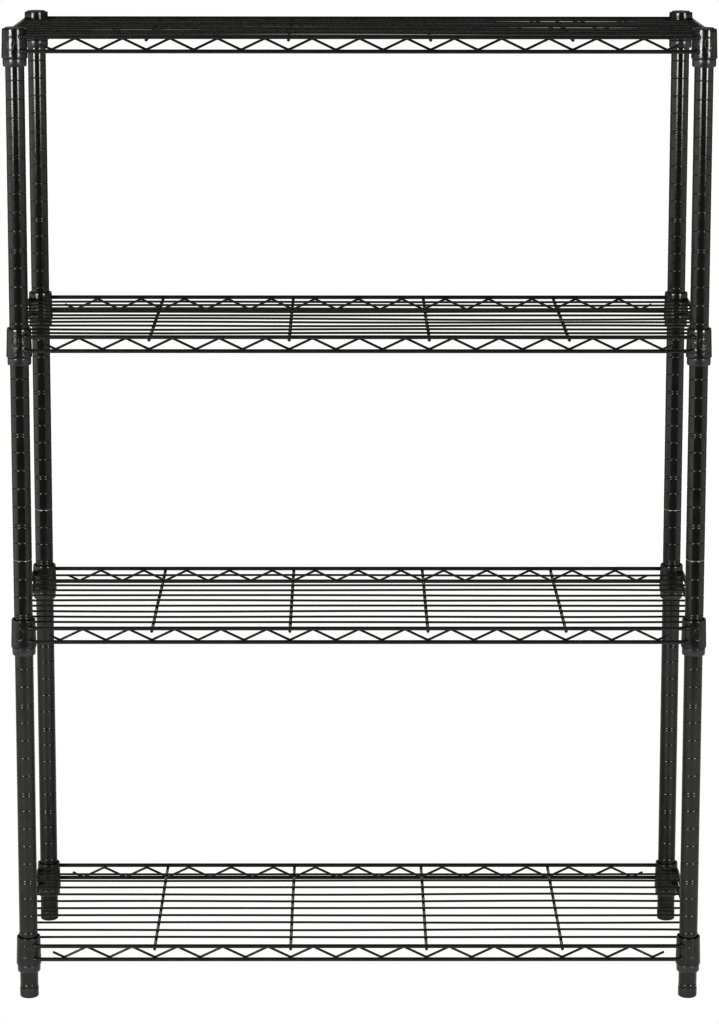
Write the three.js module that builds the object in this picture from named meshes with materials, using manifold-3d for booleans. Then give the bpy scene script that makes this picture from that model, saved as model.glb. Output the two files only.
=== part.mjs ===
// Four-tier wire shelving rack: four two-piece round posts on levelling feet, and four welded
// wire shelves whose corner collars wedge onto split tapered clips snapped round the posts.
// Millimetres, +Z up. The rack stands on z = 0 with its middle at x = y = 0, its front towards -Y.
import * as THREE from "three";
import { mergeVertices } from "three/addons/utils/BufferGeometryUtils.js";
import Module from "manifold-3d";

// Posts: their spacing, and the ring grooves cut every inch, which every height counts from.
const INCH = 25.4;
const POST_SPAN_X = 925;
const POST_SPAN_Y = 320;
const POST_RADIUS = 12.7;
const POST_WALL = 1.2;
const FIRST_GROOVE_Z = 19;
const SPLICE_GROOVE = 24;
const SHELF_GROOVES = [2, 20, 36, 52];
const COLLAR_TOP_ABOVE_GROOVE = 18;

// Clearance between pieces that touch on the real rack.
const GAP = 0.3;
const ROUND_SIDES = 16;

// Corner collar of a shelf. Heights are measured down from its top rim.
const COLLAR_HEIGHT = 39.5;
const COLLAR_TOP_RADIUS = 16.25;
const COLLAR_BOTTOM_RADIUS = 17.5;
const COLLAR_WALL = 1.65;

// Split clip between post and collar. Its lip shows below the collar.
const CLIP_TOP_DROP = 3.5;
const CLIP_BOTTOM_DROP = 50.8;
const CLIP_LIP_RADIUS = 16;
const CLIP_LIP_CHAMFER = 2;

// Shelf wires: diameters, and where they lie.
const RAIL_WIRE = 5.2;
const ZIGZAG_WIRE = 3.1;
const DECK_WIRE = 2.9;
const CROSS_ROD = 4.2;
const ROD_WELD_SINK = 0.25;
const TOP_RAIL_DROP = 10.25;
const BOTTOM_RAIL_DROP = 29.5;
const RAIL_OUTSIDE_POST = 14.75;
const RAIL_END_INSIDE_POST = 10;
const BEND_INSIDE_RAIL = 2;
const ZIGZAGS_LONG = 14;
const ZIGZAGS_SHORT = 4;
const ZIGZAG_PITCH = POST_SPAN_X * 0.0685;
const LONG_END_LEG = 0.25;
const SHORT_END_LEG = 0.5;
const DECK_WIRES = 10;
const DECK_EDGE_SPACINGS = 1.29;
const CROSS_ROD_PITCHES = [-4.5, -1.5, 1.5, 4.5];
const CROSS_ROD_OVERHANG = 1.5;

// Levelling foot: a round pad on a threaded stem that turns in a plug in the post's end.
const PAD_RADIUS = 13;
const PAD_HEIGHT = 14;
const PAD_CHAMFER = 1.5;
const STEM_RADIUS = 4.75;
const STEM_LENGTH = 30;
const PLUG_HEIGHT = 20;

// Splice stud inside the two tubes of a post, with a thin ring that shows between them.
const STUD_HALF_LENGTH = 30;
const STUD_RING_RADIUS = 12.4;
const STUD_RING_HALF_HEIGHT = 0.4;

// Top cap: a disc with a plug that presses into the tube, whose top is just under the top collar's rim.
const POST_TOP_BELOW_COLLAR_TOP = 1;
const CAP_THICKNESS = 2.4;
const CAP_CHAMFER = 0.8;
const CAP_PLUG_LENGTH = 12;

// Heights that follow from the above.
const grooveZ = (groove) => FIRST_GROOVE_Z + groove * INCH;
const spliceZ = grooveZ(SPLICE_GROOVE);
const shelfTops = SHELF_GROOVES.map((groove) => grooveZ(groove) + COLLAR_TOP_ABOVE_GROOVE);
const tubeBottomZ = PAD_HEIGHT + GAP;
const tubeTopZ = shelfTops.at(-1) - POST_TOP_BELOW_COLLAR_TOP;
const tubeInnerRadius = POST_RADIUS - POST_WALL;

const corners = [
  { name: "front_left", x: -POST_SPAN_X / 2, y: -POST_SPAN_Y / 2 },
  { name: "front_right", x: POST_SPAN_X / 2, y: -POST_SPAN_Y / 2 },
  { name: "rear_left", x: -POST_SPAN_X / 2, y: POST_SPAN_Y / 2 },
  { name: "rear_right", x: POST_SPAN_X / 2, y: POST_SPAN_Y / 2 },
];

const finish = {
  powderCoat: { color: 0x26272a, roughness: 0.32, metalness: 0.0 },
  clipPlastic: { color: 0x2b2c30, roughness: 0.5, metalness: 0.0 },
  footPlastic: { color: 0x1d1d1f, roughness: 0.55, metalness: 0.0 },
  platedSteel: { color: 0xb9bcc0, roughness: 0.35, metalness: 1.0 },
};

const manifold = await Module();
manifold.setup();

// A closed three.js geometry as a manifold solid.
function solidOf(geometry) {
  const bare = new THREE.BufferGeometry();
  const plain = geometry.index ? geometry.toNonIndexed() : geometry;
  bare.setAttribute("position", plain.getAttribute("position"));
  const merged = mergeVertices(bare, 1e-4);
  return new manifold.Manifold(
    new manifold.Mesh({
      numProp: 3,
      vertProperties: merged.attributes.position.array,
      triVerts: new Uint32Array(merged.index.array),
    }),
  );
}

// A manifold solid as a three.js geometry with flat faces.
function geometryOf(solid) {
  const { vertProperties, triVerts } = solid.getMesh();
  const indexed = new THREE.BufferGeometry();
  indexed.setAttribute("position", new THREE.BufferAttribute(vertProperties, 3));
  indexed.setIndex(new THREE.BufferAttribute(triVerts, 1));
  const flat = indexed.toNonIndexed();
  flat.computeVertexNormals();
  return flat;
}

// A [radius, z] outline turned about the Z axis. Points run anticlockwise, with z up and radius right.
function turned(outline) {
  const points = outline.map(([radius, z]) => new THREE.Vector2(radius, z));
  if (outline[0][0] > 0) points.push(points[0].clone());
  return new THREE.LatheGeometry(points, ROUND_SIDES).rotateX(Math.PI / 2);
}

function mesh(name, geometry, look) {
  const made = new THREE.Mesh(geometry, new THREE.MeshStandardMaterial(look));
  made.name = name;
  return made;
}

// Radii of the collar's outside and bore at a depth below its top rim.
function collarRadius(drop) {
  const slope = (COLLAR_BOTTOM_RADIUS - COLLAR_TOP_RADIUS) / COLLAR_HEIGHT;
  return COLLAR_TOP_RADIUS + slope * drop;
}
const boreRadius = (drop) => collarRadius(drop) - COLLAR_WALL;

function collar({ x, y }) {
  const ring = turned([
    [boreRadius(COLLAR_HEIGHT), -COLLAR_HEIGHT],
    [collarRadius(COLLAR_HEIGHT), -COLLAR_HEIGHT],
    [collarRadius(0), 0],
    [boreRadius(0), 0],
  ]);
  return solidOf(ring.translate(x, y, 0));
}

// Wires are square bars of the round wire's cross-section area. The side is rounded to an eighth
// of a millimetre, so that the faces of welded wires meet exactly.
const barSide = (diameter) => Math.round(diameter * Math.sqrt(Math.PI / 4) * 8) / 8;

function bar(length, diameter) {
  return new THREE.BoxGeometry(length, barSide(diameter), barSide(diameter));
}

// Zigzag wire of a truss, along X in the XZ plane, with its bends just inside the two rails' centre lines.
function zigzag(bends, endLeg) {
  const points = [];
  const firstBend = (-(bends - 1) / 2) * ZIGZAG_PITCH;
  const bottom = -BOTTOM_RAIL_DROP + BEND_INSIDE_RAIL;
  const rise = BOTTOM_RAIL_DROP - TOP_RAIL_DROP - 2 * BEND_INSIDE_RAIL;
  const endRise = rise * endLeg * 2;
  points.push([firstBend - endLeg * ZIGZAG_PITCH, bottom + endRise]);
  for (let i = 0; i < bends; i++) {
    const x = firstBend + i * ZIGZAG_PITCH;
    points.push([x, bottom]);
    if (i < bends - 1) points.push([x + ZIGZAG_PITCH / 2, bottom + rise]);
  }
  points.push([-firstBend + endLeg * ZIGZAG_PITCH, bottom + endRise]);
  const side = barSide(ZIGZAG_WIRE);
  const halfHeight = (side / 2) * Math.hypot(1, rise / (ZIGZAG_PITCH / 2));
  const edge = (shift) => points.map(([x, z]) => new THREE.Vector2(x, z + shift));
  const shape = new THREE.Shape([...edge(-halfHeight), ...edge(halfHeight).reverse()]);
  const extruded = new THREE.ExtrudeGeometry(shape, { depth: side, bevelEnabled: false });
  return extruded.translate(0, 0, -side / 2).rotateX(Math.PI / 2);
}

// One side of a shelf: top rail, bottom rail and the zigzag welded inside them. It lies along X at
// y = -offset, and turning it by a quarter gives the short sides.
function truss(postSpan, offset, bends, endLeg) {
  const length = postSpan - 2 * RAIL_END_INSIDE_POST;
  const inward = (barSide(RAIL_WIRE) + barSide(ZIGZAG_WIRE)) / 2;
  return [
    bar(length, RAIL_WIRE).translate(0, -offset, -TOP_RAIL_DROP),
    bar(length, RAIL_WIRE).translate(0, -offset, -BOTTOM_RAIL_DROP),
    zigzag(bends, endLeg).translate(0, inward - offset, 0),
  ];
}

function shelfSolid() {
  const railX = POST_SPAN_X / 2 + RAIL_OUTSIDE_POST;
  const railY = POST_SPAN_Y / 2 + RAIL_OUTSIDE_POST;
  const wires = [];
  for (const turn of [0, Math.PI]) {
    wires.push(...truss(POST_SPAN_X, railY, ZIGZAGS_LONG, LONG_END_LEG).map((w) => w.rotateZ(turn)));
    const side = turn + Math.PI / 2;
    wires.push(...truss(POST_SPAN_Y, railX, ZIGZAGS_SHORT, SHORT_END_LEG).map((w) => w.rotateZ(side)));
  }
  const rodTop = -TOP_RAIL_DROP - barSide(RAIL_WIRE) / 2 + ROD_WELD_SINK;
  const rodZ = rodTop - barSide(CROSS_ROD) / 2;
  const deckZ = rodTop + barSide(DECK_WIRE) / 2;
  const spacing = (2 * railY) / (DECK_WIRES - 1 + 2 * DECK_EDGE_SPACINGS);
  for (let i = 0; i < DECK_WIRES; i++) {
    const y = (i - (DECK_WIRES - 1) / 2) * spacing;
    wires.push(bar(2 * railX, DECK_WIRE).translate(0, y, deckZ));
  }
  for (const pitches of CROSS_ROD_PITCHES) {
    const rod = bar(2 * (railY + CROSS_ROD_OVERHANG), CROSS_ROD).rotateZ(Math.PI / 2);
    wires.push(rod.translate(pitches * ZIGZAG_PITCH, 0, rodZ));
  }
  return manifold.Manifold.union([...corners.map(collar), ...wires.map(solidOf)]);
}

// Both halves of a clip, split across the post from side to side.
function clipHalves() {
  const inner = POST_RADIUS + GAP;
  const taper = (drop) => boreRadius(drop) - GAP;
  const ring = solidOf(
    turned([
      [inner, -CLIP_BOTTOM_DROP],
      [CLIP_LIP_RADIUS - CLIP_LIP_CHAMFER, -CLIP_BOTTOM_DROP],
      [CLIP_LIP_RADIUS, -CLIP_BOTTOM_DROP + CLIP_LIP_CHAMFER],
      [taper(COLLAR_HEIGHT), -COLLAR_HEIGHT],
      [taper(CLIP_TOP_DROP), -CLIP_TOP_DROP],
      [inner, -CLIP_TOP_DROP],
    ]),
  );
  return {
    front: geometryOf(ring.trimByPlane([0, -1, 0], GAP / 2)),
    rear: geometryOf(ring.trimByPlane([0, 1, 0], GAP / 2)),
  };
}

function tube(bottom, top) {
  return turned([
    [tubeInnerRadius, bottom],
    [POST_RADIUS, bottom],
    [POST_RADIUS, top],
    [tubeInnerRadius, top],
  ]);
}

function foot() {
  return turned([
    [0, 0],
    [PAD_RADIUS - PAD_CHAMFER, 0],
    [PAD_RADIUS, PAD_CHAMFER],
    [PAD_RADIUS, PAD_HEIGHT - PAD_CHAMFER],
    [PAD_RADIUS - PAD_CHAMFER, PAD_HEIGHT],
    [STEM_RADIUS, PAD_HEIGHT],
    [STEM_RADIUS, PAD_HEIGHT + STEM_LENGTH],
    [0, PAD_HEIGHT + STEM_LENGTH],
  ]);
}

function footPlug() {
  const bottom = tubeBottomZ + 2 * GAP;
  return turned([
    [STEM_RADIUS + GAP, bottom],
    [tubeInnerRadius - GAP, bottom],
    [tubeInnerRadius - GAP, bottom + PLUG_HEIGHT],
    [STEM_RADIUS + GAP, bottom + PLUG_HEIGHT],
  ]);
}

function spliceStud() {
  const radius = tubeInnerRadius - GAP;
  const half = [
    [STUD_RING_RADIUS, STUD_RING_HALF_HEIGHT],
    [radius, STUD_RING_HALF_HEIGHT],
    [radius, STUD_HALF_LENGTH],
    [0, STUD_HALF_LENGTH],
  ];
  const lower = half.map(([r, z]) => [r, -z]).reverse();
  return turned([...lower, ...half].map(([r, z]) => [r, z + spliceZ]));
}

function cap() {
  const base = tubeTopZ + GAP;
  const top = base + CAP_THICKNESS;
  const plugRadius = tubeInnerRadius - GAP;
  return turned([
    [0, base - CAP_PLUG_LENGTH],
    [plugRadius, base - CAP_PLUG_LENGTH],
    [plugRadius, base],
    [POST_RADIUS, base],
    [POST_RADIUS, top - CAP_CHAMFER],
    [POST_RADIUS - CAP_CHAMFER, top],
    [0, top],
  ]);
}

const rack = new THREE.Group();

for (const corner of corners) {
  const post = new THREE.Group();
  post.position.set(corner.x, corner.y, 0);
  const tubeGap = STUD_RING_HALF_HEIGHT + GAP;
  post.add(
    mesh(`post_lower_${corner.name}`, tube(tubeBottomZ, spliceZ - tubeGap), finish.powderCoat),
    mesh(`post_upper_${corner.name}`, tube(spliceZ + tubeGap, tubeTopZ), finish.powderCoat),
    mesh(`splice_stud_${corner.name}`, spliceStud(), finish.platedSteel),
    mesh(`top_cap_${corner.name}`, cap(), finish.footPlastic),
    mesh(`foot_plug_${corner.name}`, footPlug(), finish.platedSteel),
    mesh(`levelling_foot_${corner.name}`, foot(), finish.footPlastic),
  );
  shelfTops.forEach((topZ, tier) => {
    const halves = clipHalves();
    for (const side of ["front", "rear"]) {
      const half = mesh(`clip_${tier + 1}_${corner.name}_${side}_half`, halves[side], finish.clipPlastic);
      half.position.z = topZ;
      post.add(half);
    }
  });
  rack.add(post);
}

const shelfGeometry = geometryOf(shelfSolid());
shelfTops.forEach((topZ, tier) => {
  const shelf = mesh(`shelf_${tier + 1}`, shelfGeometry, finish.powderCoat);
  shelf.position.z = topZ;
  rack.add(shelf);
});

export default rack;
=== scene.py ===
# Looks of the four-tier wire shelving rack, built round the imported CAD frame. Runs in Blender 4.5.
import math

import bpy
import numpy as np
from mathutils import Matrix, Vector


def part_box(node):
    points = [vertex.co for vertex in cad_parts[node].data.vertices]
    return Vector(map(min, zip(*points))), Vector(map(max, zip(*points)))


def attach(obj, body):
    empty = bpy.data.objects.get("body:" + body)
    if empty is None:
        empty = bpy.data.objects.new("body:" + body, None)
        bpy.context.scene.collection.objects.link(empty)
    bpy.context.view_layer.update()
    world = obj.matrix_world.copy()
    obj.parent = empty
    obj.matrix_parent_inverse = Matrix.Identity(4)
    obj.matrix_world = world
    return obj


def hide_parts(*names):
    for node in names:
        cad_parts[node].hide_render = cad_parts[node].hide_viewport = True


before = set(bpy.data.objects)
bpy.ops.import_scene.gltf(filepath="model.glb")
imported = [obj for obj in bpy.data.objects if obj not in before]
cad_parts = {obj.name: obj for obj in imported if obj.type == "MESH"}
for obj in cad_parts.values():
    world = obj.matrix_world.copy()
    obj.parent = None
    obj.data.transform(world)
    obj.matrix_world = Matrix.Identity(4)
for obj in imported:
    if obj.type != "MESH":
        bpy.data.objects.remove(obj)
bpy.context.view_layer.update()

# Sizes of the rack are millimetres, as in the CAD. Places come from the CAD nodes' boxes.
MM = 0.001
Y, Z = np.array((0.0, 1.0, 0.0)), np.array((0.0, 0.0, 1.0))
SEED = 41
CORNERS = ("front_left", "front_right", "rear_left", "rear_right")
TIERS = (1, 2, 3, 4)

# Post tubes and their ring grooves.
POST_RADIUS = 12.7
POST_WALL = 1.2
POST_BORE = POST_RADIUS - POST_WALL
TUBE_EDGE_CUT = 0.35
TUBE_EDGE_BEND = 0.3 * TUBE_EDGE_CUT
TUBE_SIDES = 48
INCH = 25.4
FIRST_GROOVE_Z = 19
GROOVE_HALF_WIDTH = 0.85
GROOVE_DEPTH = 0.42
GROOVE_EDGE = 0.3
FLANK_WIDTH, FLANK_DEPTH = 0.55, 0.62  # where its side bends, as shares of its half width and depth
DOUBLE_GROOVE_EVERY = 5
DOUBLE_GROOVE_PHASE = 1
DOUBLE_GROOVE_DROP = 3.5
GROOVE_COUNT = 53
GAP = 0.3

# Shelf collars and the oval line on them. A drop is a distance below the collar's top rim.
COLLAR_HEIGHT = 39.5
COLLAR_TOP_RADIUS = 16.25
COLLAR_BOTTOM_RADIUS = 17.5
COLLAR_WALL = 1.65
COLLAR_EDGE_CUT = 0.6
COLLAR_SIDES = 64
COLLAR_STEPS = 10
BADGE_DROP = 19
BADGE_ANGLE = math.radians(14)
BADGE_HALF_WIDTH = 5.4
BADGE_HALF_HEIGHT = 8.6
BADGE_LINE_HALF_WIDTH = 1.12
BADGE_RELIEF = 0.45
BADGE_STEPS = 40
BADGE_LINE_SIDES = 8

# Clips.
CLIP_TOP_DROP = 3.5
CLIP_BOTTOM_DROP = 50.8
CLIP_LIP_RADIUS = 16
CLIP_LIP_BELOW_COLLAR = 1.0
CLIP_NECK_BELOW_COLLAR = 0.2
CLIP_NECK_INSET = 0.1
CLIP_RIDGE_DROP = 18
CLIP_RIDGE_RADIUS = 12.5
CLIP_RIDGE_HALF_BASE = 1.1
CLIP_RIDGE_HALF_CREST = 0.3
CLIP_STEPS = 28

# Shelf wires, as diameters, and where they lie.
RAIL_WIRE = 5.2
ZIGZAG_WIRE = 3.1
DECK_WIRE = 2.9
CROSS_ROD = 4.2
TOP_RAIL_DROP = 10.25
BOTTOM_RAIL_DROP = 29.5
DECK_DROP = 11.0
CROSS_ROD_DROP = 14.2
RAIL_OUTSIDE_POST = 14.75
RAIL_END_INSIDE_POST = 10
ZIGZAG_INSIDE_RAIL = 3.7
BEND_INSIDE_RAIL = 2.0
ZIGZAGS_LONG = 14
ZIGZAGS_SHORT = 4
PITCH_PER_SPAN = 0.0685
LONG_END_LEG = 0.25
SHORT_END_LEG = 0.5
ZIGZAG_BEND_CUT = 2.2
ZIGZAG_BEND_STEPS = 5
DECK_WIRES = 10
DECK_EDGE_SPACINGS = 1.29
CROSS_ROD_PITCHES = (-4.5, -1.5, 1.5, 4.5)
CROSS_ROD_OVERHANG = 1.5
RAIL_SIDES, CROSS_ROD_SIDES, THIN_WIRE_SIDES = 20, 16, 12
WIRE_END = ((0.0, 0.62), (0.1, 0.84), (0.3, 0.96), (0.7, 1.0))  # how far in and how wide, in wire radii

# How far deck wires and cross rods wander, as the spread of each of their waves.
WIRE_WAVES = 3
DECK_SAG, DECK_BENDS = 0.3, 24
ROD_SAG, ROD_BENDS = 0.1, 12

# Weld metal: half sizes along X, Y and Z, and how far each blob lies from the wire it joins.
RAIL_BEAD, RAIL_BEAD_OUT, RAIL_BEAD_IN = (3.3, 3.1, 3.5), 0.4, 0.7
BEAD_ROWS, BEAD_SIDES = 10, 16
ZIGZAG_SPOT, ZIGZAG_SPOT_OUT, ZIGZAG_SPOT_PAST_BEND = (2.2, 1.0, 1.3), 1.7, 0.5
DECK_END_SPOT, DECK_END_SPOT_IN = (1.2, 1.7, 1.5), 2.3
ROD_SPOT, ROD_SPOT_DOWN = (1.9, 2.0, 0.8), 0.1
ROD_END_SPOT, ROD_END_SPOT_UP = (2.3, 2.0, 0.9), 0.1
SPOT_ROWS, SPOT_SIDES = 6, 10

# Feet, plugs, studs and caps.
CORE_RADIUS = 0.5  # the flat left in the middle of a solid turned end
PAD_RADIUS = 13
PAD_HEIGHT = 14
PAD_HOLLOW_RADIUS, PAD_HOLLOW_DEPTH, PAD_RING_RADIUS = PAD_RADIUS - 4.5, 0.5, PAD_RADIUS - 4
PAD_RECESS_WIDTH, PAD_RECESS_DEPTH = 1.6, 0.8
STEM_RADIUS = 4.75
STEM_LENGTH = 30
STEM_PITCH = 1.5
STEM_THREAD = 0.5
STEM_SUNK = 0.4
PLUG_HEIGHT = 20
PLUG_WAIST_DEPTH = 0.6
PLUG_WAIST_HEIGHTS = (5.5, 6, 14, 14.5)
STUD_HALF_LENGTH = 30
STUD_SIDES = 32
STUD_RING_RADIUS = 12.4
STUD_RING_HALF_HEIGHT = 0.4
STUD_RING_CUT = 0.15
STUD_NECK_DEPTH, STUD_NECK_LENGTH = 0.4, 0.6
STUD_THREAD_FROM_RING = 0.8
STUD_PITCH = 2.5
STUD_THREAD = 0.7
CAP_THICKNESS = 2.4
CAP_PLUG_LENGTH = 12
CAP_PLUG_WALL = 1.8
CAP_PLUG_HOLLOW = 1.2
CAP_RIM, CAP_DISH_EDGE, CAP_DISH_DEPTH = 2.6, 3.6, 0.5


# ---------------------------------------------------------------- meshes

class Shells:
    """Closed shells that make up one piece, in millimetres."""

    def __init__(self, *shells):
        self.points, self.faces, self.looks, self.count = [], [], [], 0
        for shell in shells:
            self.add(shell)

    def add(self, shell, look=0):
        points, faces = shell
        if signed_volume(points, faces) < 0:
            faces = [tuple(reversed(f)) for f in faces]
        self.points.append(points)
        self.faces += [tuple(i + self.count for i in f) for f in faces]
        self.looks += [look] * len(faces)
        self.count += len(points)

    def piece(self, name, node, body, slot, looks, at, sharp_degrees=40):
        points = np.concatenate(self.points) + np.array(at, float)
        mesh = bpy.data.meshes.new(name)
        mesh.from_pydata((points * MM).tolist(), [], self.faces)
        for look in looks:
            mesh.materials.append(look)
        mesh.polygons.foreach_set("material_index", self.looks)
        mesh.shade_smooth()
        mesh.set_sharp_from_angle(angle=math.radians(sharp_degrees))
        mesh.validate()
        made = bpy.data.objects.new(name, mesh)
        bpy.context.scene.collection.objects.link(made)
        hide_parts(node)
        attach(made, body)


def signed_volume(points, faces):
    total = 0.0
    for f in faces:
        a = points[f[0]]
        for i in range(1, len(f) - 1):
            b, c = points[f[i]], points[f[i + 1]]
            total += (
                a[0] * (b[1] * c[2] - b[2] * c[1])
                + a[1] * (b[2] * c[0] - b[0] * c[2])
                + a[2] * (b[0] * c[1] - b[1] * c[0])
            )
    return total


def skin(rings, closed_stack=False):
    """Points and faces of a skin over a stack of rings with equally many points. The two end rings are
    filled, unless the stack closes on itself."""
    rings = np.asarray(rings, float)
    rows, sides, _ = rings.shape
    faces = []
    for i in range(rows if closed_stack else rows - 1):
        low, high = i * sides, (i + 1) % rows * sides
        for j in range(sides):
            k = (j + 1) % sides
            faces.append((low + j, low + k, high + k, high + j))
    if not closed_stack:
        faces.append(tuple(reversed(range(sides))))
        faces.append(tuple(range((rows - 1) * sides, rows * sides)))
    return rings.reshape(-1, 3), faces


def angles(sides):
    return 2 * np.pi * np.arange(sides) / sides


def stacked(x, y, z):
    """Rings from the coordinates of their points, one row of each for every ring."""
    return np.stack(np.broadcast_arrays(x, y, z), axis=2)


def turned(profile, sides):
    """Rings of a (radius, z) outline turned about the Z axis."""
    turn = angles(sides)
    radii, heights = np.asarray(profile, float).T[:, :, None]
    return stacked(radii * np.cos(turn), radii * np.sin(turn), heights)


def lathe(profile, sides, hollow=False):
    return skin(turned(profile, sides), closed_stack=hollow)


def rounded(points, cuts, steps=3, closed=True):
    """The outline with each corner cut back by its distance and rounded."""
    points = [np.asarray(p, float) for p in points]
    cuts = [cuts] * len(points) if np.isscalar(cuts) else cuts
    made = []
    for i, (corner, cut) in enumerate(zip(points, cuts)):
        if cut == 0 or (not closed and i in (0, len(points) - 1)):
            made.append(corner)
            continue
        before, after = points[i - 1] - corner, points[(i + 1) % len(points)] - corner
        start = corner + before / np.linalg.norm(before) * cut
        end = corner + after / np.linalg.norm(after) * cut
        for k in range(steps + 1):
            t = k / steps
            made.append((1 - t) ** 2 * start + 2 * t * (1 - t) * corner + t * t * end)
    return made


def wire(path, diameter, sides, across):
    """A round wire along a path in the plane square to the vector across, with cut ends just rounded."""
    path = [np.asarray(p, float) for p in path]
    radius = diameter / 2
    centres, radii = [], []
    start, end = path[1] - path[0], path[-2] - path[-1]
    start, end = start / np.linalg.norm(start), end / np.linalg.norm(end)
    for along, share in WIRE_END:
        centres.append(path[0] + start * along * radius)
        radii.append(share * radius)
    for p in path[1:-1]:
        centres.append(p)
        radii.append(radius)
    for along, share in reversed(WIRE_END):
        centres.append(path[-1] + end * along * radius)
        radii.append(share * radius)
    centres = np.array(centres)
    heading = np.gradient(centres, axis=0)
    heading /= np.linalg.norm(heading, axis=1)[:, None]
    up = np.cross(heading, across)
    up /= np.linalg.norm(up, axis=1)[:, None]
    turn = angles(sides)[:, None]
    spokes = up[:, None] * np.cos(turn) + across * np.sin(turn)
    return skin(centres[:, None] + spokes * np.array(radii)[:, None, None])


def blob(centre, half, rows=SPOT_ROWS, sides=SPOT_SIDES):
    """A small ellipsoid of weld metal."""
    tilt, spin = np.pi * (np.arange(rows)[:, None] + 0.5) / rows, angles(sides)
    rings = stacked(np.sin(tilt) * np.cos(spin), np.sin(tilt) * np.sin(spin), np.cos(tilt))
    return skin(rings * np.asarray(half, float) + np.asarray(centre, float))


def turned_about_z(shell, angle):
    points, faces = shell
    c, s = math.cos(angle), math.sin(angle)
    return points @ np.array([[c, s, 0], [-s, c, 0], [0, 0, 1]]), faces


def moved(shell, by):
    points, faces = shell
    return points + np.asarray(by, float), faces


def threaded(radius, depth, pitch, low, high, sides, per_turn):
    """Rings of a rod with a screw thread, which fades out at both ends."""
    heights = np.append(np.arange(low, high, pitch / per_turn), high)[:, None]
    turn = angles(sides)
    phase = (heights / pitch - turn / (2 * np.pi)) % 1.0
    cut = depth * np.abs(2 * phase - 1)
    lead = np.clip(np.minimum(heights - low, high - heights) / pitch, 0, 1)
    radii = radius - depth * (1 - lead) - cut * lead
    return stacked(radii * np.cos(turn), radii * np.sin(turn), heights)


# ---------------------------------------------------------------- materials

class Nodes:
    """A material's node tree, with short ways to add and join nodes."""

    def __init__(self, name):
        self.material = bpy.data.materials.new(name)
        self.material.use_nodes = True
        self.tree = self.material.node_tree
        self.shader = self.tree.nodes["Principled BSDF"]
        self.place = self.add("ShaderNodeTexCoord").outputs["Object"]

    def add(self, kind, **values):
        node = self.tree.nodes.new(kind)
        for key, value in values.items():
            setattr(node, key, value)
        return node

    def join(self, source, target):
        self.tree.links.new(source, target)

    def into(self, source, socket):
        self.join(source, self.shader.inputs[socket])

    def noise(self, scale, detail, roughness=0.5, stretch=None):
        node = self.add("ShaderNodeTexNoise")
        node.inputs["Scale"].default_value = scale
        node.inputs["Detail"].default_value = detail
        node.inputs["Roughness"].default_value = roughness
        place = self.place
        if stretch:
            mapping = self.add("ShaderNodeMapping")
            mapping.inputs["Scale"].default_value = stretch
            self.join(place, mapping.inputs["Vector"])
            place = mapping.outputs["Vector"]
        self.join(place, node.inputs["Vector"])
        return node.outputs["Fac"]

    def ranged(self, value, low, high, start=0.35, stop=0.65):
        """The value, which by default is noise that mostly runs from start to stop, as low to high."""
        node = self.add("ShaderNodeMapRange")
        self.join(value, node.inputs["Value"])
        for key, number in (("From Min", start), ("From Max", stop), ("To Min", low), ("To Max", high)):
            node.inputs[key].default_value = number
        return node.outputs["Result"]

    def blend_colour(self, factor, low, high):
        node = self.add("ShaderNodeMix", data_type="RGBA")
        for name, colour in (("A", low), ("B", high)):
            socket = next(s for s in node.inputs if s.type == "RGBA" and s.name == name)
            socket.default_value = (*colour, 1)
        self.join(factor, node.inputs["Factor"])
        return next(s for s in node.outputs if s.type == "RGBA")

    def times(self, a, b):
        node = self.add("ShaderNodeMath", operation="MULTIPLY")
        self.join(a, node.inputs[0])
        self.join(b, node.inputs[1])
        return node.outputs[0]

    def seen_white(self):
        """Plain white where the camera looks straight at the surface, and itself for every other ray."""
        mix = self.add("ShaderNodeMixShader")
        self.join(self.add("ShaderNodeLightPath").outputs["Is Camera Ray"], mix.inputs[0])
        self.join(self.shader.outputs[0], mix.inputs[1])
        self.join(self.add("ShaderNodeEmission").outputs[0], mix.inputs[2])
        self.join(mix.outputs[0], self.tree.nodes["Material Output"].inputs["Surface"])

    def bump(self, height, distance, under=None):
        """A normal for a height of 0 to 1 times the distance in metres."""
        node = self.add("ShaderNodeBump")
        node.inputs["Strength"].default_value = 1.0
        node.inputs["Distance"].default_value = distance
        self.join(height, node.inputs["Height"])
        if under:
            self.join(under, node.inputs["Normal"])
        return node.outputs["Normal"]


def mottled(name, colours, roughness, colour_noise, roughness_noise):
    """A material whose colour and roughness each wander between two values, over noise of a scale and a
    detail."""
    n = Nodes(name)
    n.into(n.blend_colour(n.ranged(n.noise(*colour_noise), 0, 1), *colours), "Base Color")
    n.into(n.ranged(n.noise(*roughness_noise), *roughness), "Roughness")
    return n


def coat(name, colours, roughness, peel, peel_scale, lumps=0.0, lump_scale=0.0):
    """Powder coat: near black, glossy, with orange peel and, where it is thick, slow lumps."""
    n = mottled(name, colours, roughness, colour_noise=(60, 4), roughness_noise=(140, 3))
    normal = n.bump(n.noise(peel_scale, 2), peel)
    if lumps:
        normal = n.bump(n.noise(lump_scale, 1), lumps, normal)
    n.into(normal, "Normal")
    return n.material


def plastic(name, colours, roughness, grain, grain_scale):
    """Moulded plastic with a fine grain."""
    n = mottled(name, colours, roughness, colour_noise=(90, 5), roughness_noise=(260, 3))
    n.into(n.bump(n.noise(grain_scale, 3, 0.6), grain), "Normal")
    return n.material


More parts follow.
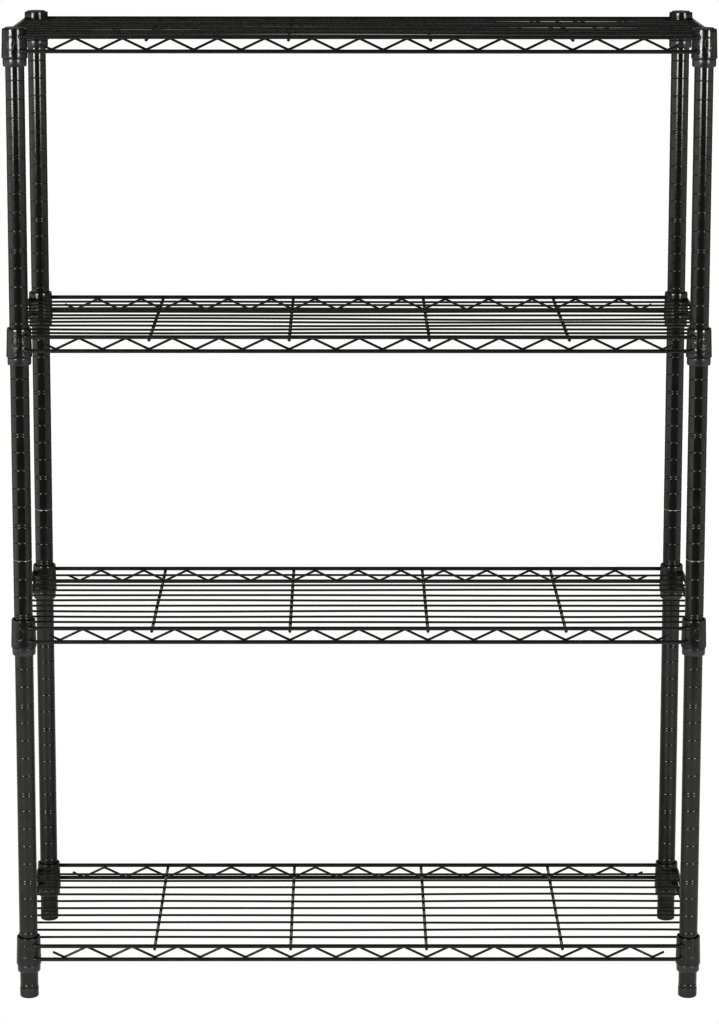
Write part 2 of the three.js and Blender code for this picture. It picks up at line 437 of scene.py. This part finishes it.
def plated(name, colours, roughness, marks):
    """Plated steel with fine marks round it from turning."""
    n = Nodes(name)
    n.shader.inputs["Metallic"].default_value = 1.0
    turning = n.noise(120, 4, stretch=(1, 1, 14))
    n.into(n.blend_colour(n.ranged(turning, 0, 1), *colours), "Base Color")
    n.into(n.ranged(n.noise(300, 3), *roughness), "Roughness")
    n.into(n.bump(turning, marks), "Normal")
    return n.material


POST_COAT = coat(
    "post_powder_coat", colours=((0.0100, 0.0100, 0.0096), (0.0150, 0.0150, 0.0142)),
    roughness=(0.10, 0.13), peel=0.000002, peel_scale=650)
WIRE_COAT = coat(
    "wire_powder_coat", colours=((0.0090, 0.0088, 0.0084), (0.0150, 0.0147, 0.0138)),
    roughness=(0.23, 0.31), peel=0.000005, peel_scale=420)
COLLAR_COAT = coat(
    "collar_powder_coat", colours=((0.0095, 0.0095, 0.0092), (0.0160, 0.0160, 0.0152)),
    roughness=(0.15, 0.24), peel=0.00003, peel_scale=520, lumps=0.00020, lump_scale=190)
FOOT_COAT = coat(
    "foot_coat", colours=((0.0110, 0.0110, 0.0105), (0.0190, 0.0190, 0.0180)),
    roughness=(0.32, 0.48), peel=0.00004, peel_scale=480)
CLIP_PLASTIC = plastic(
    "clip_plastic", colours=((0.0220, 0.0226, 0.0240), (0.0320, 0.0330, 0.0350)),
    roughness=(0.19, 0.27), grain=0.000014, grain_scale=1500)
CAP_PLASTIC = plastic(
    "cap_plastic", colours=((0.0150, 0.0150, 0.0155), (0.0280, 0.0280, 0.0280)),
    roughness=(0.45, 0.6), grain=0.00003, grain_scale=1500)
STEEL = plated(
    "plated_steel", colours=((0.42, 0.42, 0.43), (0.62, 0.62, 0.61)),
    roughness=(0.24, 0.4), marks=0.00002)


# ---------------------------------------------------------------- posts

def middle(node):
    low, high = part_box(node)
    return (low.x + high.x) / 2 / MM, (low.y + high.y) / 2 / MM


def height_range(node):
    low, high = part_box(node)
    return low.z / MM, high.z / MM


def groove_heights(low, high):
    """Heights of the ring grooves that fit between two heights."""
    floor_z = height_range("levelling_foot_front_left")[0]
    found = []
    for n in range(GROOVE_COUNT):
        z = floor_z + FIRST_GROOVE_Z + n * INCH
        found.append(z)
        if n % DOUBLE_GROOVE_EVERY == DOUBLE_GROOVE_PHASE:
            found.append(z - DOUBLE_GROOVE_DROP)
    clear = GROOVE_HALF_WIDTH + GROOVE_EDGE + TUBE_EDGE_CUT
    return sorted(z for z in found if low + clear < z < high - clear)


def tube_end(z, inward):
    """Outline of a tube's rounded end at height z, from the bore outwards. Inward is 1 if the tube is
    above z and -1 if it is below."""
    cut, bend = TUBE_EDGE_CUT, TUBE_EDGE_BEND
    return [(POST_BORE, z + inward * cut), (POST_BORE + cut, z), (POST_RADIUS - cut, z),
            (POST_RADIUS - bend, z + inward * bend), (POST_RADIUS, z + inward * cut),
            (POST_RADIUS, z + inward * 2 * cut)]


def grooved_tube(low, high):
    """A tube between two heights, with rounded ends and its ring grooves."""
    edge, flank = GROOVE_HALF_WIDTH + GROOVE_EDGE, FLANK_WIDTH * GROOVE_HALF_WIDTH
    section = ((-edge, 0), (-GROOVE_HALF_WIDTH, 0), (-flank, FLANK_DEPTH), (0, 1),
               (flank, FLANK_DEPTH), (GROOVE_HALF_WIDTH, 0), (edge, 0))
    profile = tube_end(low, 1)
    for z in groove_heights(low, high):
        profile += [(POST_RADIUS - GROOVE_DEPTH * share, z + dz) for dz, share in section]
    profile += reversed(tube_end(high, -1))
    return Shells(lathe(profile, TUBE_SIDES, hollow=True))


def splice_stud():
    """Threaded both ways from a plain ring, about z = 0."""
    radius, ring = POST_BORE - GAP, STUD_RING_HALF_HEIGHT
    neck, thread_start = radius - STUD_NECK_DEPTH, ring + STUD_THREAD_FROM_RING
    half = [(STUD_RING_RADIUS, ring - STUD_RING_CUT), (STUD_RING_RADIUS - STUD_RING_CUT, ring),
            (neck, ring), (neck, ring + STUD_NECK_LENGTH)]
    waist = turned([(r, -z) for r, z in reversed(half)] + half, STUD_SIDES)
    thread = (radius, STUD_THREAD, STUD_PITCH)
    low = threaded(*thread, -STUD_HALF_LENGTH, -thread_start, STUD_SIDES, per_turn=4)
    high = threaded(*thread, thread_start, STUD_HALF_LENGTH, STUD_SIDES, per_turn=4)
    return Shells(skin(np.concatenate([low, waist, high])))


def top_cap():
    """Pressed-in cap with a rounded rim and a shallow dish, whose underside is at z = 0."""
    plug, bottom, hollow = POST_BORE - GAP, -CAP_PLUG_LENGTH, -CAP_PLUG_LENGTH + CAP_PLUG_HOLLOW
    top, dish = CAP_THICKNESS, CAP_THICKNESS - CAP_DISH_DEPTH
    profile = rounded(
        [(CORE_RADIUS, hollow), (plug - CAP_PLUG_WALL, hollow), (plug - CAP_PLUG_WALL, bottom),
         (plug, bottom), (plug, 0), (POST_RADIUS, 0), (POST_RADIUS, top), (POST_RADIUS - CAP_RIM, top),
         (POST_RADIUS - CAP_DISH_EDGE, dish), (CORE_RADIUS, dish)],
        cuts=[0, 0.3, 0.3, 0.6, 0, 0.3, 0.9, 0.4, 0.4, 0], steps=4)
    return Shells(lathe(profile, TUBE_SIDES))


def foot_plug():
    """Tapped plug with a waist round its middle, whose underside is at z = 0."""
    outer, inner = POST_BORE - GAP, STEM_RADIUS + GAP
    waist = outer - PLUG_WAIST_DEPTH
    profile = rounded(
        [(inner, 0), (outer, 0), *zip((outer, waist, waist, outer), PLUG_WAIST_HEIGHTS),
         (outer, PLUG_HEIGHT), (inner, PLUG_HEIGHT)],
        cuts=[0.6, 0.5, 0.15, 0.15, 0.15, 0.15, 0.5, 0.6])
    return Shells(lathe(profile, TUBE_SIDES, hollow=True))


def levelling_foot():
    """Round pad with a rounded lower edge on a threaded stem, standing on z = 0."""
    recess, recess_z = STEM_RADIUS + PAD_RECESS_WIDTH, PAD_HEIGHT - PAD_RECESS_DEPTH
    pad = rounded(
        [(CORE_RADIUS, PAD_HOLLOW_DEPTH), (PAD_HOLLOW_RADIUS, PAD_HOLLOW_DEPTH), (PAD_RING_RADIUS, 0),
         (PAD_RADIUS, 0), (PAD_RADIUS, PAD_HEIGHT), (recess, PAD_HEIGHT), (recess, recess_z),
         (STEM_RADIUS - STEM_THREAD, recess_z)],
        cuts=[0, 0.3, 0.3, 2.1, 0.7, 0.2, 0.2, 0], steps=4)
    stem = threaded(STEM_RADIUS, STEM_THREAD, STEM_PITCH, PAD_HEIGHT - STEM_SUNK,
                    PAD_HEIGHT + STEM_LENGTH, TUBE_SIDES, per_turn=5)
    return Shells(skin(np.concatenate([turned(pad, TUBE_SIDES), stem])))


# ---------------------------------------------------------------- clips

def collar_radius(drop):
    return COLLAR_TOP_RADIUS + (COLLAR_BOTTOM_RADIUS - COLLAR_TOP_RADIUS) / COLLAR_HEIGHT * drop


def clip_radius(drop):
    return collar_radius(drop) - COLLAR_WALL - GAP


def clip_half(front):
    """Half of a tapered split sleeve: a section swept round, with flat end faces half a gap from the
    plane of the split."""
    inner, ridge = POST_RADIUS + GAP, CLIP_RIDGE_RADIUS
    base, crest = CLIP_RIDGE_HALF_BASE, CLIP_RIDGE_HALF_CREST
    section = rounded(
        [(inner, CLIP_BOTTOM_DROP), (CLIP_LIP_RADIUS, CLIP_BOTTOM_DROP),
         (CLIP_LIP_RADIUS, COLLAR_HEIGHT + CLIP_LIP_BELOW_COLLAR),
         (clip_radius(COLLAR_HEIGHT) - CLIP_NECK_INSET, COLLAR_HEIGHT + CLIP_NECK_BELOW_COLLAR),
         (clip_radius(CLIP_TOP_DROP), CLIP_TOP_DROP), (inner, CLIP_TOP_DROP),
         (inner, CLIP_RIDGE_DROP - base), (ridge, CLIP_RIDGE_DROP - crest),
         (ridge, CLIP_RIDGE_DROP + crest), (inner, CLIP_RIDGE_DROP + base)],
        cuts=[0.5, 2.4, 0.5, 0.1, 0.5, 0.3, 0.2, 0.1, 0.1, 0.2])
    facing = -1 if front else 1
    rings = []
    for k in range(CLIP_STEPS + 1):
        ring = []
        for radius, drop in section:
            first = math.asin(GAP / 2 / radius)
            angle = first + (math.pi - 2 * first) * k / CLIP_STEPS
            ring.append((radius * math.cos(angle), facing * radius * math.sin(angle), -drop))
        rings.append(ring)
    return Shells(skin(rings))


# ---------------------------------------------------------------- shelves

def collar():
    """A flared ring with rounded edges, its top rim at z = 0."""
    drops = [COLLAR_HEIGHT * (1 - k / COLLAR_STEPS) for k in range(COLLAR_STEPS + 1)]
    outline = [(collar_radius(COLLAR_HEIGHT) - COLLAR_WALL, -COLLAR_HEIGHT)]
    outline += [(collar_radius(drop), -drop) for drop in drops]
    outline += [(collar_radius(0) - COLLAR_WALL, 0)]
    cuts = [COLLAR_EDGE_CUT] * 2 + [0] * (COLLAR_STEPS - 1) + [COLLAR_EDGE_CUT] * 2
    return lathe(rounded(outline, cuts), COLLAR_SIDES, hollow=True)


def badge(towards):
    """A plain raised oval line on a collar."""
    rings = []
    for t in angles(BADGE_STEPS):
        ring = []
        for a in angles(BADGE_LINE_SIDES):
            share = 1 + BADGE_LINE_HALF_WIDTH / BADGE_HALF_HEIGHT * math.cos(a)
            drop = BADGE_DROP - BADGE_HALF_HEIGHT * share * math.sin(t)
            radius = collar_radius(drop) + BADGE_RELIEF * math.sin(a)
            angle = towards + BADGE_HALF_WIDTH * share * math.cos(t) / radius
            ring.append((radius * math.cos(angle), radius * math.sin(angle), -drop))
        rings.append(ring)
    return skin(rings, closed_stack=True)


def straight(start, end, wave, bends, rng):
    """Points along a wire that isn't quite straight: slow random waves aside and up, none at its ends."""
    start, end = np.asarray(start, float), np.asarray(end, float)
    along = (end - start) / np.linalg.norm(end - start)
    aside = np.cross(Z, along)
    points = []
    swing = rng.normal(0, wave, (WIRE_WAVES, 2))
    for k in range(bends + 1):
        t = k / bends
        off, lift = sum(swing[m] * math.sin((m + 1) * math.pi * t) for m in range(WIRE_WAVES))
        points.append(start + (end - start) * t + aside * off + Z * lift)
    return points


def truss(post_span, offset, bends, end_leg, pitch):
    """Shells of two rails and the zigzag welded inside them, along X at y = -offset."""
    made = []
    half = post_span / 2 - RAIL_END_INSIDE_POST
    for drop in (TOP_RAIL_DROP, BOTTOM_RAIL_DROP):
        path = [(half * share, -offset, -drop) for share in (-1, -0.5, 0, 0.5, 1)]
        made.append(wire(path, RAIL_WIRE, RAIL_SIDES, Y))
        for end in (-1, 1):
            bead_x, bead_y = end * (half + RAIL_BEAD_OUT), -offset + RAIL_BEAD_IN
            made.append(blob((bead_x, bead_y, -drop), RAIL_BEAD, BEAD_ROWS, BEAD_SIDES))
    rise = BOTTOM_RAIL_DROP - TOP_RAIL_DROP - 2 * BEND_INSIDE_RAIL
    first = -(bends - 1) / 2 * pitch
    y = ZIGZAG_INSIDE_RAIL - offset
    lowest, end_rise = -BOTTOM_RAIL_DROP + BEND_INSIDE_RAIL, rise * end_leg * 2
    corners = [(first - end_leg * pitch, y, lowest + end_rise)]
    for i in range(bends):
        corners.append((first + i * pitch, y, lowest))
        if i < bends - 1:
            corners.append((first + (i + 0.5) * pitch, y, lowest + rise))
    corners.append((-first + end_leg * pitch, y, lowest + end_rise))
    path = rounded(corners, ZIGZAG_BEND_CUT, ZIGZAG_BEND_STEPS, closed=False)
    made.append(wire(path, ZIGZAG_WIRE, THIN_WIRE_SIDES, Y))
    for x, _, z in corners[1:-1]:
        past = -ZIGZAG_SPOT_PAST_BEND if z == lowest else ZIGZAG_SPOT_PAST_BEND
        made.append(blob((x, y - ZIGZAG_SPOT_OUT, z + past), ZIGZAG_SPOT))
    return made


def shelf(rng):
    """One welded shelf, centred at x = y = 0 with its collars' top rims at z = 0. The collars have the
    second look."""
    span_x, span_y = SPAN
    rail_x, rail_y = span_x / 2 + RAIL_OUTSIDE_POST, span_y / 2 + RAIL_OUTSIDE_POST
    pitch = span_x * PITCH_PER_SPAN
    shells = Shells()
    for sx in (-1, 1):
        for sy in (-1, 1):
            at = (sx * span_x / 2, sy * span_y / 2, 0)
            shells.add(moved(collar(), at), 1)
            shells.add(moved(badge(sy * (math.pi / 2 - sx * BADGE_ANGLE)), at), 1)
    for turn in (0, math.pi):
        for shell in truss(span_x, rail_y, ZIGZAGS_LONG, LONG_END_LEG, pitch):
            shells.add(turned_about_z(shell, turn))
        for shell in truss(span_y, rail_x, ZIGZAGS_SHORT, SHORT_END_LEG, pitch):
            shells.add(turned_about_z(shell, turn + math.pi / 2))
    spacing = 2 * rail_y / (DECK_WIRES - 1 + 2 * DECK_EDGE_SPACINGS)
    deck_ys = [(i - (DECK_WIRES - 1) / 2) * spacing for i in range(DECK_WIRES)]
    rod_xs = [p * pitch for p in CROSS_ROD_PITCHES]
    for y in deck_ys:
        ends = (-rail_x, y, -DECK_DROP), (rail_x, y, -DECK_DROP)
        path = straight(*ends, DECK_SAG, DECK_BENDS, rng)
        shells.add(wire(path, DECK_WIRE, THIN_WIRE_SIDES, Z))
        for end in (-1, 1):
            shells.add(blob((end * (rail_x - DECK_END_SPOT_IN), y, -DECK_DROP), DECK_END_SPOT))
        for x in rod_xs:
            shells.add(blob((x, y, -(DECK_DROP + CROSS_ROD_DROP) / 2 - ROD_SPOT_DOWN), ROD_SPOT))
    reach = rail_y + CROSS_ROD_OVERHANG
    under_rail = -(TOP_RAIL_DROP + RAIL_WIRE / 2) + ROD_END_SPOT_UP
    for x in rod_xs:
        ends = (x, -reach, -CROSS_ROD_DROP), (x, reach, -CROSS_ROD_DROP)
        path = straight(*ends, ROD_SAG, ROD_BENDS, rng)
        shells.add(wire(path, CROSS_ROD, CROSS_ROD_SIDES, Z))
        for end in (-1, 1):
            shells.add(blob((x, end * rail_y, under_rail), ROD_END_SPOT))
    return shells


# ---------------------------------------------------------------- the rack

left, right = middle("post_upper_front_left"), middle("post_upper_rear_right")
SPAN = (right[0] - left[0], right[1] - left[1])
CENTRE = ((right[0] + left[0]) / 2, (right[1] + left[1]) / 2)

for corner in CORNERS:
    x, y = middle(f"post_upper_{corner}")
    for part in ("lower", "upper"):
        node = f"post_{part}_{corner}"
        tube = grooved_tube(*height_range(node))
        tube.piece(f"{node}_grooved", node, "posts", "powder_coat", [POST_COAT], (x, y, 0))
    node = f"splice_stud_{corner}"
    stud_z = sum(height_range(node)) / 2
    splice_stud().piece(f"{node}_threaded", node, "posts", "plated_steel", [STEEL], (x, y, stud_z))
    node = f"top_cap_{corner}"
    cap_z = height_range(node)[1] - CAP_THICKNESS
    top_cap().piece(f"{node}_moulded", node, "posts", "cap_plastic", [CAP_PLASTIC], (x, y, cap_z))
    node = f"foot_plug_{corner}"
    plug_z = height_range(node)[0]
    foot_plug().piece(f"{node}_turned", node, "posts", "plated_steel", [STEEL], (x, y, plug_z))
    node = f"levelling_foot_{corner}"
    foot_z = height_range(node)[0]
    levelling_foot().piece(
        f"{node}_turned", node, f"foot_{corner}", "foot", [FOOT_COAT], (x, y, foot_z), sharp_degrees=30)
    for tier in TIERS:
        top = height_range(f"shelf_{tier}")[1]
        for side in ("front", "rear"):
            node = f"clip_{tier}_{corner}_{side}_half"
            clip_half(side == "front").piece(
                f"{node}_moulded", node, "posts", "clip_plastic", [CLIP_PLASTIC], (x, y, top),
                sharp_degrees=30)

rng = np.random.default_rng(SEED)
for tier in TIERS:
    node = f"shelf_{tier}"
    top = height_range(node)[1]
    shelf(rng).piece(
        f"{node}_welded", node, f"{node}_body", "powder_coat", [WIRE_COAT, COLLAR_COAT], (*CENTRE, top))


# ---------------------------------------------------------------- floor, light and camera, in metres

scene = bpy.context.scene

FLOOR_RADIUS, FLOOR_SIDES = 2.2, 96
FLOOR_COLOURS = (0.58, 0.58, 0.545), (0.62, 0.62, 0.585)
FLOOR_ROUGHNESS = 0.6, 0.75
FLOOR_SPECULAR = 0.2
GLOW_COLOUR = (1, 1, 0.93, 1)
FLOOR_GLOW, GLOW_STARTS = 1.2, (-2.2, -1.4)  # the glow's strength, and the stretch of Y where it rises
FLOOR_GLOW_BACK, GLOW_FALLS = 0.36, (-0.3, 0.1)  # the share of it left at the back, and where it falls

# The surround's brightness, the share of it that each part has, and the stretch along an axis of the unit
# sphere where that part begins.
AROUND = 2.65
DARK_FRONT, FRONT_EDGE = 0.07, (-0.75, -0.6)
DARK_BACK, BACK_EDGE = 0.12, (0.0, 0.85)
BRIGHT_BACK, HIGH_BACK_EDGE = 0.9, (0.10, 0.30)
DARK_LEVEL, LEVEL_EDGE, LEVEL_BACK_EDGE = 0.2, (-0.06, 0.02), (0.2, 0.7)
RIGHT_SIDE, SIDE_EDGE = 0.68, (-0.4, 0.4)
DARK_ABOVE, ABOVE_EDGE = 0.25, (0.35, 0.75)
DARK_BESIDE, BESIDE_SQUARED_EDGE, BESIDE_HEIGHT_EDGE = 0.3, (0.2, 0.6), (-0.02, 0.06)

# Soft boxes' azimuths, in degrees from -Y and positive towards +X, and widths.
SOFT_BOXES = (("left_soft_box", -34.6, 3.6), ("right_soft_box", 39.0, 2.8))
BOX_DISTANCE = 9.0
BOX_LOW, BOX_HIGH = 0.36, 4.6
BOX_RADIANCE = 23.5

IMAGE_HEIGHT = 1024
FOCAL_PIXELS = 3311.0
SENSOR_SIZE = 36.0
CAMERA_SHIFT = (0.0015, -0.18)
CAMERA_PLACE = (-0.0178, -4.6, 1.69)
CAMERA_DIP, CAMERA_ROLL, CAMERA_YAW = 0.16476, -0.001, -0.00346
VIEW_GAMMA = 0.62


def build_floor():
    """A pale disc that throws light up from in front of the rack. The camera sees plain white."""
    mesh = bpy.data.meshes.new("floor")
    rim = [(FLOOR_RADIUS * math.cos(a), FLOOR_RADIUS * math.sin(a), 0) for a in angles(FLOOR_SIDES)]
    mesh.from_pydata(rim, [], [tuple(range(FLOOR_SIDES))])
    floor = bpy.data.objects.new("floor", mesh)
    scene.collection.objects.link(floor)
    paper = Nodes("pale_paper")
    paper.shader.inputs["Specular IOR Level"].default_value = FLOOR_SPECULAR
    paper.shader.inputs["Emission Color"].default_value = GLOW_COLOUR
    paper.into(paper.blend_colour(paper.noise(3, 2), *FLOOR_COLOURS), "Base Color")
    paper.into(paper.ranged(paper.noise(40, 2), *FLOOR_ROUGHNESS), "Roughness")
    split = paper.add("ShaderNodeSeparateXYZ")
    paper.join(paper.place, split.inputs[0])
    rising = paper.ranged(split.outputs["Y"], 0.0, FLOOR_GLOW, *GLOW_STARTS)
    falling = paper.ranged(split.outputs["Y"], 1.0, FLOOR_GLOW_BACK, *GLOW_FALLS)
    paper.into(paper.times(rising, falling), "Emission Strength")
    paper.seen_white()
    mesh.materials.append(paper.material)


def build_world():
    """A surround that is bright below the horizon at the sides and high up behind, and darker
    elsewhere. The camera sees plain white."""
    world = bpy.data.worlds.new("studio")
    scene.world = world
    world.use_nodes = True
    tree = world.node_tree
    background = tree.nodes["Background"]
    split = tree.nodes.new("ShaderNodeSeparateXYZ")
    tree.links.new(tree.nodes.new("ShaderNodeTexCoord").outputs["Generated"], split.inputs[0])
    x, y, z = (split.outputs[axis] for axis in "XYZ")

    def ranged(value, edge, low, high):
        node = tree.nodes.new("ShaderNodeMapRange")
        node.interpolation_type = "SMOOTHSTEP"
        tree.links.new(value, node.inputs["Value"])
        for key, number in zip(("From Min", "From Max", "To Min", "To Max"), (*edge, low, high)):
            node.inputs[key].default_value = number
        return node.outputs["Result"]

    def maths(operation, a, b):
        node = tree.nodes.new("ShaderNodeMath")
        node.operation = operation
        for socket, value in zip(node.inputs, (a, b)):
            if isinstance(value, float):
                socket.default_value = value
            else:
                tree.links.new(value, socket)
        return node.outputs[0]

    front = ranged(y, FRONT_EDGE, DARK_FRONT, 1.0)
    low_back = ranged(y, BACK_EDGE, 1.0, DARK_BACK)
    high_back = ranged(z, HIGH_BACK_EDGE, 0.0, BRIGHT_BACK)
    level = maths("MAXIMUM", ranged(z, LEVEL_EDGE, 1.0, DARK_LEVEL), ranged(y, LEVEL_BACK_EDGE, 1.0, 0.0))
    back = maths("MAXIMUM", maths("MULTIPLY", low_back, level), high_back)
    side = ranged(x, SIDE_EDGE, 1.0, RIGHT_SIDE)
    overhead = ranged(z, ABOVE_EDGE, 1.0, DARK_ABOVE)
    beside = maths("MAXIMUM", ranged(maths("MULTIPLY", x, x), BESIDE_SQUARED_EDGE, 1.0, DARK_BESIDE),
                   ranged(z, BESIDE_HEIGHT_EDGE, 1.0, 0.0))
    depth = maths("MULTIPLY", front, back)
    width = maths("MULTIPLY", side, maths("MULTIPLY", overhead, beside))
    around_object = maths("MULTIPLY", maths("MULTIPLY", depth, width), AROUND)
    seen = tree.nodes.new("ShaderNodeLightPath").outputs["Is Camera Ray"]
    unseen = maths("MULTIPLY", around_object, maths("SUBTRACT", 1.0, seen))
    tree.links.new(maths("ADD", unseen, seen), background.inputs["Strength"])
    background.inputs["Color"].default_value = (1, 1, 1, 1)


def build_lights():
    """Upright rectangular lights in front, one to each side."""
    for name, azimuth, width in SOFT_BOXES:
        light = bpy.data.lights.new(name, "AREA")
        light.shape = "RECTANGLE"
        light.size, light.size_y = width, BOX_HIGH - BOX_LOW
        light.energy = BOX_RADIANCE * math.pi * light.size * light.size_y
        made = bpy.data.objects.new(name, light)
        a = math.radians(azimuth)
        made.location = (
            BOX_DISTANCE * math.sin(a), -BOX_DISTANCE * math.cos(a), (BOX_LOW + BOX_HIGH) / 2)
        made.rotation_euler = (math.pi / 2, 0, a)
        made.visible_camera = False
        scene.collection.objects.link(made)


def build_camera():
    camera = bpy.data.cameras.new("camera")
    camera.sensor_width = SENSOR_SIZE
    camera.lens = FOCAL_PIXELS / IMAGE_HEIGHT * SENSOR_SIZE
    camera.shift_x, camera.shift_y = CAMERA_SHIFT
    made = bpy.data.objects.new("camera", camera)
    made.rotation_mode = "XYZ"
    made.location = CAMERA_PLACE
    made.rotation_euler = (math.pi / 2 - CAMERA_DIP, CAMERA_ROLL, CAMERA_YAW)
    scene.collection.objects.link(made)
    scene.camera = made


build_floor()
build_world()
build_lights()
build_camera()
scene.view_settings.view_transform = "Standard"
scene.view_settings.gamma = VIEW_GAMMA
